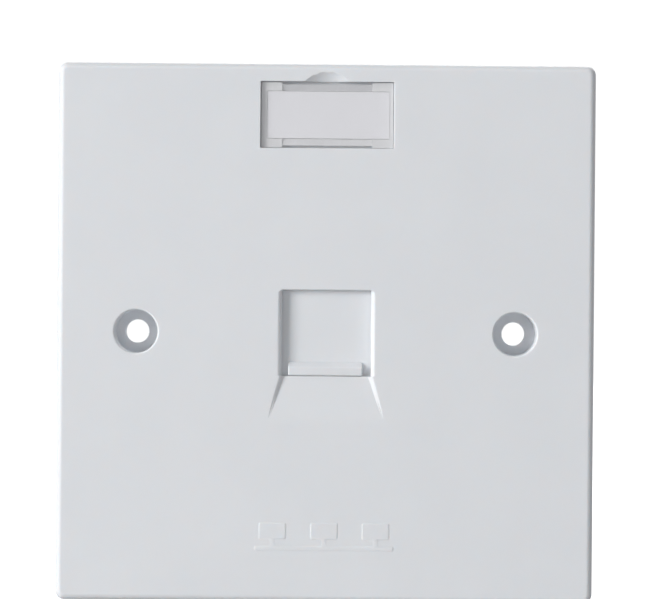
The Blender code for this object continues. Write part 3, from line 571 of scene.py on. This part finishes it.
def make_label():
    low = (-10.57 * MM, -8.75 * MM, LABEL_Z - 5.27 * MM)
    high = (10.57 * MM, -8.3 * MM, LABEL_Z + 5.27 * MM)
    window = soft_block("clear_window", low, high, 0.07 * MM, 3)
    show(window, "label_window", CLEAR, ["label_window"])
    # The upper bar takes the thick clear plastic, and the lower bar takes its lighter copy as painted light.
    for side, name, plastic in ((1, "upper", CLEAR_THICK), (-1, "lower", CLEAR_PAINTED_LIGHT)):
        bar = window_bar(f"clear_window_bar_{name}", side)
        show(bar, "label_window", plastic, ["label_window"])
    # The window's ends take the lighter copy too, as painted light that lifts the shade the pocket's walls
    # throw on them.
    for side, name in ((-1, "left"), (1, "right")):
        show(window_edge(side, name), "label_window", CLEAR_PAINTED_LIGHT, ["label_window"])
    low = (-9.58 * MM, -8.25 * MM, LABEL_Z - 3.75 * MM)
    card = soft_block("paper_card", low, (9.93 * MM, -7.95 * MM, LABEL_Z + 3.75 * MM), 0.04 * MM)
    show(card, "label_window", CARD, ["label_card"])


# ---- shutter and springs ------------------------------------------------------------------------


def shutter_lip():
    """The finger lip: a wedge along the shutter's foot, sloping above, with rounded ends."""
    profile = [
        (-0.5, 0.32),
        (0.12, 0.34),
        (0.30, 0.42),
        (0.85, 0.94),
        (0.99, 1.05),
        (1.06, 1.16),
        (1.08, 1.30),
        (1.03, 2.20),
        (0.98, 2.38),
        (0.86, 2.45),
        (-0.5, 2.45),
    ]
    rings = []
    for x, inset in ((-5.9, 0.16), (-5.85, 0.06), (-5.74, 0.0), (5.74, 0.0), (5.85, 0.06), (5.9, 0.16)):
        ring = []
        for out, down in profile:
            reach = out - inset if out > 0 else out
            height = 1.225 + (down - 1.225) * (1 - inset / 1.225)
            ring.append((x * MM, (-7.5 - reach) * MM, (-4.4 - height) * MM))
        rings.append(ring)
    return loft("lip", rings)


def make_shutter():
    front, back, ear_back = -7.5 * MM, -6.1 * MM, -3.9 * MM
    bottom, top, half = -7.8 * MM, 8.6 * MM, 8.3 * MM
    shutter = soft_block("dust_shutter", (-half, front, bottom), (half, back, top), 0.15 * MM, 3)
    for side in (-1, 1):
        ear = (half - ROOT, front, bottom), (11.3 * MM, ear_back, -4.5 * MM)
        runner = (half - 1.3 * MM, back - ROOT, bottom), (half, ear_back, top)
        peg = [(0.55, -5.0), (0.55, -3.3), (0.45, -3.13), (0.3, -3.1)]
        ear_block = side_block(side, "ear", *ear, 0.15 * MM)
        runner_block = side_block(side, "runner", *runner, 0.15 * MM)
        peg_rod = lathe_z("peg", in_mm(peg), side * SPRING_X, SPRING_Y)
        join(shutter, ear_block, runner_block, peg_rod)
    join(shutter, shutter_lip())
    show(shutter, "shutter", WHITE, ["shutter"])


def make_springs():
    """Fine coils with closed ends, standing between the shutter's pegs and the plate's stops."""
    turns, steps, radius, wire = 14, 28, 1.1 * MM, 0.2 * MM
    low, high, closed = -4.1 * MM, 12.2 * MM, 0.23 * MM
    pitch = (high - low - 2 * closed) / (turns - 2)
    for side, name in ((-1, "left"), (1, "right")):
        curve = bpy.data.curves.new(f"coil_{name}", "CURVE")
        curve.dimensions = "3D"
        curve.bevel_depth = wire / 2
        curve.bevel_resolution = 2
        curve.use_fill_caps = True
        spline = curve.splines.new("POLY")
        spline.points.add(turns * steps)
        for step, point in enumerate(spline.points):
            turn = step / steps
            open_turns = min(max(turn - 1, 0), turns - 2)
            angle = 2 * pi * turn
            z = low + open_turns * pitch + (turn - open_turns) * closed
            x, y = side * SPRING_X + radius * cos(angle), SPRING_Y + radius * sin(angle)
            point.co = (x, y, z, 1.0)
        guide = bpy.data.objects.new("coil_guide", curve)
        bpy.context.scene.collection.objects.link(guide)
        mesh = evaluated_mesh(guide)
        bpy.data.objects.remove(guide, do_unlink=True)
        spring = bpy.data.objects.new(f"coil_spring_{name}", mesh)
        bpy.context.scene.collection.objects.link(spring)
        show(spring, "plate", STEEL, [f"shutter_spring_{name}"], 60, False)
        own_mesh(spring)


# ---- carrier and screws -------------------------------------------------------------------------


def make_carrier():
    sheet = (-18.4 * MM, -3.6 * MM, -13.4 * MM), (18.4 * MM, -1.6 * MM, 20.8 * MM)
    carrier = soft_block("carrier", *sheet, 0.45 * MM, 3)
    collar = (-8.8 * MM, -2.1 * MM, -11.3 * MM), (8.8 * MM, 5.0 * MM, 11.3 * MM)
    join(carrier, soft_block("frame", *collar, 0.35 * MM, 3))
    inside = (-7.4 * MM, -1.6 * MM, -9.9 * MM), (7.4 * MM, 6.5 * MM, 9.9 * MM)
    aperture = (-7.4 * MM, -5.0 * MM, -8.3 * MM), (7.4 * MM, 0.0, 8.3 * MM)
    cut(carrier, soft_block("inside_cut", *inside, 0.15 * MM), soft_block("aperture_cut", *aperture, 0))
    hole = [(1.3, -4.5), (1.3, -1.75), (1.45, -1.6), (1.45, 0.5)]
    holes = [lathe("hole_cut", in_mm(hole), x, z, 32) for x, z in SCREW_PLACES]
    cut(carrier, *holes)
    show(carrier, "plate", WHITE, ["jack_carrier"])


def make_screw(number, x, z):
    """A pan-head self-tapping screw: domed head, cross recess and a cut thread."""
    head = [(0.7, -1.1), (2.0, -1.3), (2.1, -1.22), (2.1, -0.62), (2.02, -0.36), (1.78, -0.2)]
    head += [(1.3, -0.12), (0.5, -0.1)]
    screw = lathe(f"pan_screw_{number}", in_mm(head), x, z, 48)
    thread = []
    pitch, rings_per_turn, steps = 0.8 * MM, 8, 32
    count = int(4.6 * MM / pitch * rings_per_turn)
    for ring in range(count + 1):
        y = -0.95 * MM - ring * pitch / rings_per_turn
        taper = max(0.0, (ring - count + 8) / 8) * 0.45
        points = []
        for step in range(steps):
            angle = 2 * pi * step / steps
            phase = (ring / rings_per_turn + step / steps) % 1.0
            crest = max(0.0, 1 - abs(phase - 0.5) * 5)
            radius = (0.72 + 0.27 * crest if ring > 4 else 0.72) * (1 - taper) * MM
            points.append((x + radius * cos(angle), y, z + radius * sin(angle)))
        thread.append(points)
    shank = loft("shank", thread)
    join(screw, shank)
    for long_x, long_z in ((1.1, 0.25), (0.25, 1.1)):
        rings = []
        for y, share in ((0.4, 1.25), (-0.1, 1.0), (-0.8, 0.62)):
            half_x, half_z = long_x * share * MM, long_z * (0.5 + share / 2) * MM
            if long_z > long_x:
                half_x, half_z = long_x * (0.5 + share / 2) * MM, long_z * share * MM
            rings.append(outline(half_x, half_z, 0.08 * MM, y * MM, x, z, 2))
        cut(screw, loft("cross_cut", rings))
    show(screw, "plate", ZINC, [f"carrier_screw_{number}"], 30)


# ---- jack ---------------------------------------------------------------------------------------


def make_jack_housing():
    x, z = JACK_HALF_X, JACK_HALF_Z
    housing = soft_block("jack_shell", (-x, -3.6 * MM, -z), (x, 11.0 * MM, z), 0.25 * MM, 3)
    hook = soft_block("hook", (-3.4 * MM, -1.3 * MM, -9.4 * MM), (3.4 * MM, 0.9 * MM, -7.5 * MM), 0.2 * MM)
    root = soft_block("latch_root", (-3.4 * MM, 7.5 * MM, 7.5 * MM), (3.4 * MM, 9.0 * MM, 9.1 * MM), 0.1 * MM)
    arm = soft_block("latch_arm", (-3.4 * MM, -1.3 * MM, 8.6 * MM), (3.4 * MM, 9.0 * MM, 9.5 * MM), 0.2 * MM)
    join(housing, hook, root, arm)
    half = 5.95 * MM
    socket = (-half, -5.0 * MM, -4.6 * MM), (half, 9.0 * MM, 2.2 * MM)
    slot = (-3.1 * MM, -5.0 * MM, -6.2 * MM), (3.1 * MM, 8.0 * MM, -3.6 * MM)
    bay = (-4.7 * MM, -1.9 * MM, 1.2 * MM), (4.7 * MM, 12.0 * MM, 6.2 * MM)
    cuts = [soft_block("socket_cut", *socket, 0.1 * MM), soft_block("slot_cut", *slot, 0.1 * MM)]
    cuts.append(soft_block("bay_cut", *bay, 0.1 * MM))
    rings = []
    for y, growth in ((-4.2, 0.75), (-3.6, 0.3), (-3.2, 0.0), (-2.8, -0.2)):
        half_x, half_z = half + growth * MM, (3.4 + growth) * MM
        rings.append(outline(half_x, half_z, 0.15 * MM, y * MM, z=-1.2 * MM, steps=3))
    cuts.append(loft("lead_in_cut", rings))
    cut(housing, *cuts)
    show(housing, "plate", JACK_WHITE, ["jack_housing"])


def terminals():
    """The heights of one row's four terminals."""
    return [(row - 1.5) * 4.0 * MM for row in range(4)]


def make_terminal_block():
    x, z = JACK_HALF_X, JACK_HALF_Z
    front, base, tower = 12.8 * MM, 16.0 * MM, 23.0 * MM
    body = soft_block("terminal_block", (-x, front, -z), (x, tower, z), 0.25 * MM, 3)
    cuts = [soft_block("gap_cut", (-3.4 * MM, base, -z - MM), (3.4 * MM, tower + MM, z + MM), 0.2 * MM)]
    slit0, slit1 = 4.75 * MM, 5.75 * MM
    for side in (-1, 1):
        low_x, high_x = sorted((side * 2.9 * MM, side * (x + MM)))
        for height in terminals():
            slot = (2.9 * MM, 17.5 * MM, height - 0.5 * MM), (x + MM, tower + MM, height + 0.5 * MM)
            pocket = (slit0, 14.5 * MM, height - 1.7 * MM), (slit1, tower + 2 * MM, height + 1.7 * MM)
            tail = (slit0, front - MM, height - 0.6 * MM), (slit1, 15.5 * MM, height + 0.6 * MM)
            cuts.append(side_block(side, "slot_cut", *slot, 0.1 * MM))
            cuts.append(side_block(side, "pocket_cut", *pocket, 0))
            cuts.append(side_block(side, "tail_cut", *tail, 0))
            lead = []
            for y, open_half in ((22.2, 0.5), (23.0, 1.0), (23.6, 1.4)):
                low_z, high_z = height - open_half * MM, height + open_half * MM
                corners = (low_x, low_z), (high_x, low_z), (high_x, high_z), (low_x, high_z)
                lead.append([(edge_x, y * MM, edge_z) for edge_x, edge_z in corners])
            cuts.append(loft("lead_cut", lead))
    cut(body, *cuts)
    show(body, "plate", JACK_WHITE, ["idc_housing"])


def make_cap(side, name):
    """A snap-on cap: a shell with a notch and an inner tooth for each wire, and grip ridges on its back."""
    inner0, inner1, inner_z = 3.1 * MM, 7.4 * MM, 8.3 * MM
    front, floor, back, wall = 16.3 * MM, 23.3 * MM, 24.6 * MM, 1.0 * MM
    outer = (inner0 - wall, front, -inner_z - wall), (inner1 + wall, back, inner_z + wall)
    cap = side_block(side, f"terminal_cap_{name}", *outer, 0.4 * MM, 4)
    inside = (inner0, front - 2 * MM, -inner_z), (inner1, floor, inner_z)
    cuts = [side_block(side, "inside_cut", *inside, 0.15 * MM)]
    teeth = []
    for height in terminals():
        low, high = height - 0.7 * MM, height + 0.7 * MM
        notch = (inner0 - 3 * wall, front - MM, low), (inner1 + 3 * wall, 19.6 * MM, high)
        cuts.append(side_block(side, "notch_cut", *notch, 0.25 * MM, 3))
        low, high = height - 0.2 * MM, height + 0.2 * MM
        tooth = (inner0 - ROOT, floor - 3.6 * MM, low), (4.45 * MM, floor + ROOT, high)
        teeth.append(side_block(side, "tooth", *tooth, 0.06 * MM, 1))
    for groove in range(9):
        z = (groove - 4) * 1.9 * MM
        low = (inner0 + 0.3 * MM, back - 0.22 * MM, z - 0.3 * MM)
        high = (inner1 - 0.3 * MM, back + MM, z + 0.3 * MM)
        cuts.append(side_block(side, "groove_cut", low, high, 0.12 * MM, 2))
    cut(cap, *cuts)
    join(cap, *teeth)
    show(cap, f"wire_cap_{name}", CAP_PALE, [f"wire_cap_{name}"])


def finish_cad_nodes():
    """Better materials for the CAD nodes whose shape is right."""
    kept = {"jack_board": BOARD}
    kept.update({f"contact_{n}": GOLD for n in range(1, 9)})
    kept.update({f"idc_blade_{n}": TIN for n in range(1, 9)})
    for name, material in kept.items():
        for place in NODES[name].material_slots:
            place.material = material


# ---- studio -------------------------------------------------------------------------------------


def make_floor(z):
    """A pale floor that shows and takes soft shadows, without lighting the object from below."""
    bm = bmesh.new()
    bmesh.ops.create_grid(bm, x_segments=1, y_segments=1, size=4.0)
    floor = new_piece("floor", bm)
    floor.location = (0, 0, z)
    finish = Finish("pale_floor", (0.80, 0.80, 0.80), 0.9)
    finish.bump(finish.noise(0.004, 3.0), 0.00002)
    finish.shader.inputs["Emission Color"].default_value = (1.0, 1.0, 1.0, 1.0)
    finish.shader.inputs["Emission Strength"].default_value = 0.82
    floor.data.materials.append(finish.material)
    floor.visible_diffuse = False
    floor.visible_glossy = False


def make_world():
    """A white studio: what the camera sees of it is brighter than what it sheds on the object."""
    world = bpy.data.worlds.new("studio")
    bpy.context.scene.world = world
    world.use_nodes = True
    tree = world.node_tree
    tree.nodes.clear()
    shown = tree.nodes.new("ShaderNodeBackground")
    shown.inputs["Color"].default_value = (1.0, 1.0, 1.0, 1.0)
    shown.inputs["Strength"].default_value = 1.05
    shed = tree.nodes.new("ShaderNodeBackground")
    shed.inputs["Color"].default_value = (0.97, 0.985, 1.0, 1.0)
    shed.inputs["Strength"].default_value = 0.33
    path = tree.nodes.new("ShaderNodeLightPath")
    mix = tree.nodes.new("ShaderNodeMixShader")
    out = tree.nodes.new("ShaderNodeOutputWorld")
    tree.links.new(path.outputs["Is Camera Ray"], mix.inputs["Fac"])
    tree.links.new(shed.outputs[0], mix.inputs[1])
    tree.links.new(shown.outputs[0], mix.inputs[2])
    tree.links.new(mix.outputs[0], out.inputs["Surface"])


def area_light(name, direction, distance, width, height, power):
    """A soft box that looks at the plate's middle from that direction."""
    data = bpy.data.lights.new(name, "AREA")
    data.shape = "RECTANGLE"
    data.size = width
    data.size_y = height
    data.energy = power
    light = bpy.data.objects.new(name, data)
    bpy.context.scene.collection.objects.link(light)
    towards = Vector(direction).normalized()
    light.location = towards * distance
    light.rotation_mode = "QUATERNION"
    light.rotation_quaternion = towards.to_track_quat("Z", "Y")
    return light


def make_camera():
    data = bpy.data.cameras.new("camera")
    data.sensor_width = 36.0
    distance = 0.530
    data.lens = 36.0 * distance / 0.1038
    data.clip_start, data.clip_end = 0.01, 20.0
    camera = bpy.data.objects.new("camera", data)
    bpy.context.scene.collection.objects.link(camera)
    camera.location = (0.12 * MM, FRONT_Y - distance, 5.3 * MM)
    camera.rotation_euler = (radians(90), radians(-0.48), 0)
    bpy.context.scene.camera = camera


def main():
    make_face_plate()
    make_label()
    make_shutter()
    make_springs()
    make_carrier()
    for number, (x, z) in enumerate(SCREW_PLACES, 1):
        make_screw(number, x, z)
    make_jack_housing()
    make_terminal_block()
    make_cap(-1, "left")
    make_cap(1, "right")
    finish_cad_nodes()
    make_floor(CAD_BOX[0].z)
    make_world()
    area_light("key", (-1.52, -1.0, 0.27), 2.0, 0.85, 1.2, 42.5)
    area_light("table_bounce", (0.4, -1.0, -0.95), 1.6, 1.4, 1.0, 13.5)
    area_light("back_fill", (0.5, 1.2, 0.9), 1.2, 0.9, 0.9, 9.0)
    make_camera()
    bpy.context.scene.view_settings.view_transform = "Standard"


main()
